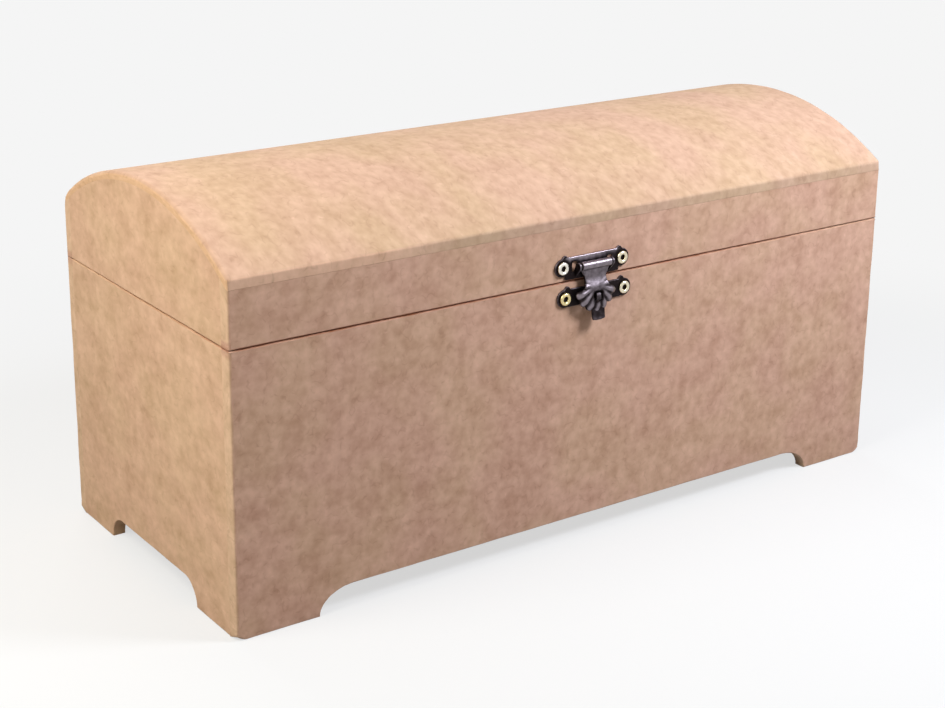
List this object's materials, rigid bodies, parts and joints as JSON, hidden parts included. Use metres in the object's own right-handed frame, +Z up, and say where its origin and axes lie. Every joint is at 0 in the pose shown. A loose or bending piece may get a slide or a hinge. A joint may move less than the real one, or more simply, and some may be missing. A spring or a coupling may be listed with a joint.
{
  "type": "treasure chest box",
  "caption": "Raw MDF treasure chest box with an arched lid on rear hinges, bracket feet and a fan-shaped hasp that drops over a tongue.",
  "frame": {"origin": "on the floor, at the middle of the box's footprint", "axes": "+Z up; -Y is the front with the hasp; +X is to the right, seen from the front, along the box"},
  "size_m": [0.3, 0.1388, 0.148],
  "materials": {
    "raw_mdf": "raw medium-density fibreboard, sanded, unpainted",
    "bent_mdf_sheet": "raw thin fibreboard, bent over the lid, sanded",
    "antique_bronze": "stamped steel plated in dark antique bronze, worn bright on its high places",
    "brass_eyelet": "bright brass-plated eyelet rivets",
    "brass_nail": "dull brass-plated small nails",
    "steel_wire": "dark steel wire"
  },
  "bodies": {
    "base": {"base_back_panel": "raw_mdf", "base_floor_panel": "raw_mdf", "base_front_panel": "raw_mdf", "base_left_end": "raw_mdf", "base_right_end": "raw_mdf", "catch_rivets": "brass_eyelet", "hasp_catch_plate": "antique_bronze", "hinge_left_base_leaf": "antique_bronze", "hinge_left_base_nails": "brass_nail", "hinge_left_pin": "steel_wire", "hinge_right_base_leaf": "antique_bronze", "hinge_right_base_nails": "brass_nail", "hinge_right_pin": "steel_wire"},
    "lid": {"hasp_pin": "steel_wire", "hasp_upper_plate": "antique_bronze", "hasp_upper_rivets": "brass_eyelet", "hinge_left_lid_leaf": "antique_bronze", "hinge_left_lid_nails": "brass_nail", "hinge_right_lid_leaf": "antique_bronze", "hinge_right_lid_nails": "brass_nail", "lid_back_panel": "raw_mdf", "lid_front_panel": "raw_mdf", "lid_left_end": "raw_mdf", "lid_right_end": "raw_mdf", "lid_top_sheet": "bent_mdf_sheet"},
    "flap": {"hasp_flap": "antique_bronze"}
  },
  "joints": [
    {"name": "lid_hinge", "type": "hinge", "parent": "base", "child": "lid", "pos_m": [0, 0.0669, 0.104], "axis": [-1, 0, 0], "range_deg": [0, 175]},
    {"name": "hasp_flap_hinge", "type": "hinge", "parent": "lid", "child": "flap", "pos_m": [-0.0007, -0.0674, 0.1096], "axis": [-1, 0, 0], "range_deg": [0, 160]}
  ]
}
